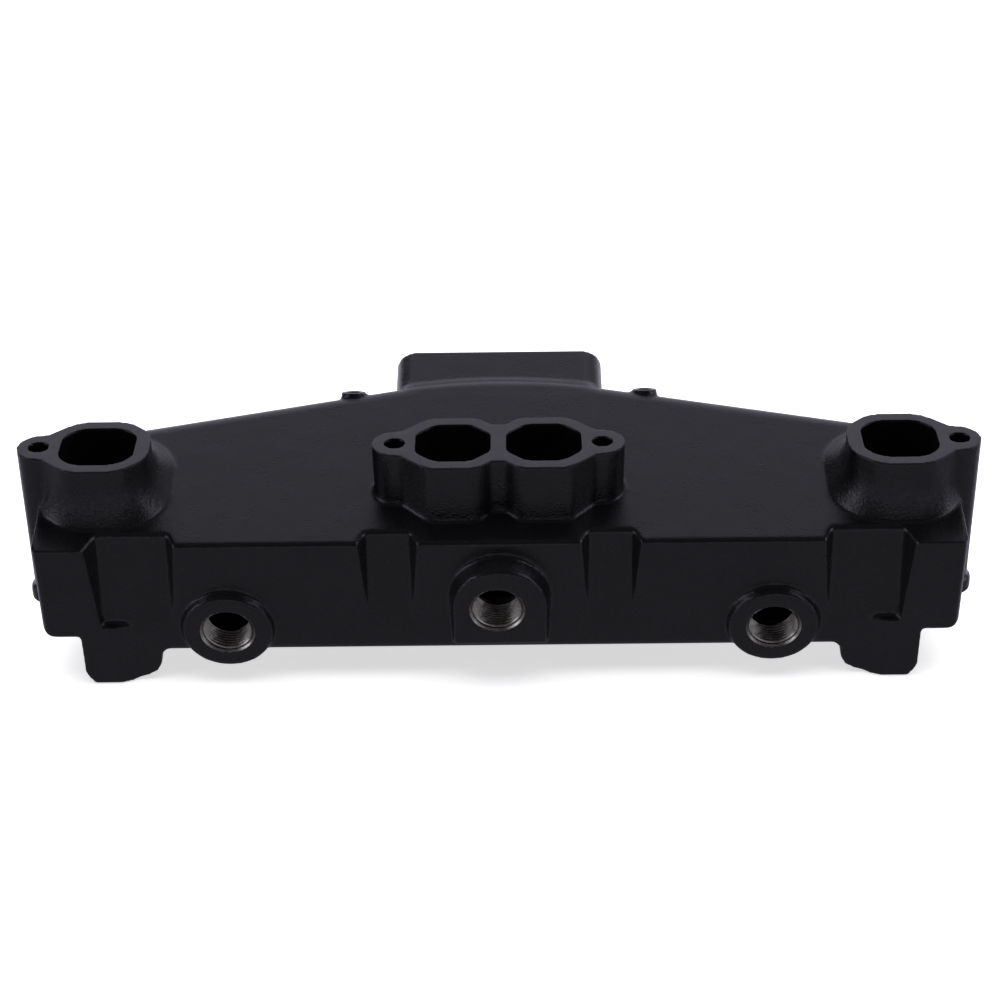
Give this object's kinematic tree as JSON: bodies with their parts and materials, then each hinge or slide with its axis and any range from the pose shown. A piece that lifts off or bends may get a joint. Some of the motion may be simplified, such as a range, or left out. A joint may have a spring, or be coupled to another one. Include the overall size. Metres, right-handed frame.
{
  "type": "marine exhaust manifold",
  "caption": "Black water-jacketed exhaust manifold for a marine V8, with a ported flange, threaded water ports and a centre riser neck.",
  "frame": {"origin": "in the port face, on the bolt line, midway between the two centre ports", "axes": "+X along the length, +Y from the threaded front wall towards the riser neck, +Z out of the port face"},
  "size_m": [0.4906, 0.1941, 0.1248],
  "materials": {
    "black_painted_iron": "semi-gloss black paint over cast iron",
    "painted_steel_plug": "semi-gloss black paint over pressed steel",
    "plug_steel": "zinc plated"
  },
  "bodies": {
    "root": {"manifold_casting": "black_painted_iron", "end_core_plug_left": "painted_steel_plug", "end_core_plug_right": "painted_steel_plug", "side_core_plug_a": "painted_steel_plug", "side_core_plug_b": "painted_steel_plug", "side_core_plug_c": "painted_steel_plug", "side_core_plug_d": "painted_steel_plug", "neck_pipe_plug": "plug_steel"}
  },
  "joints": []
}
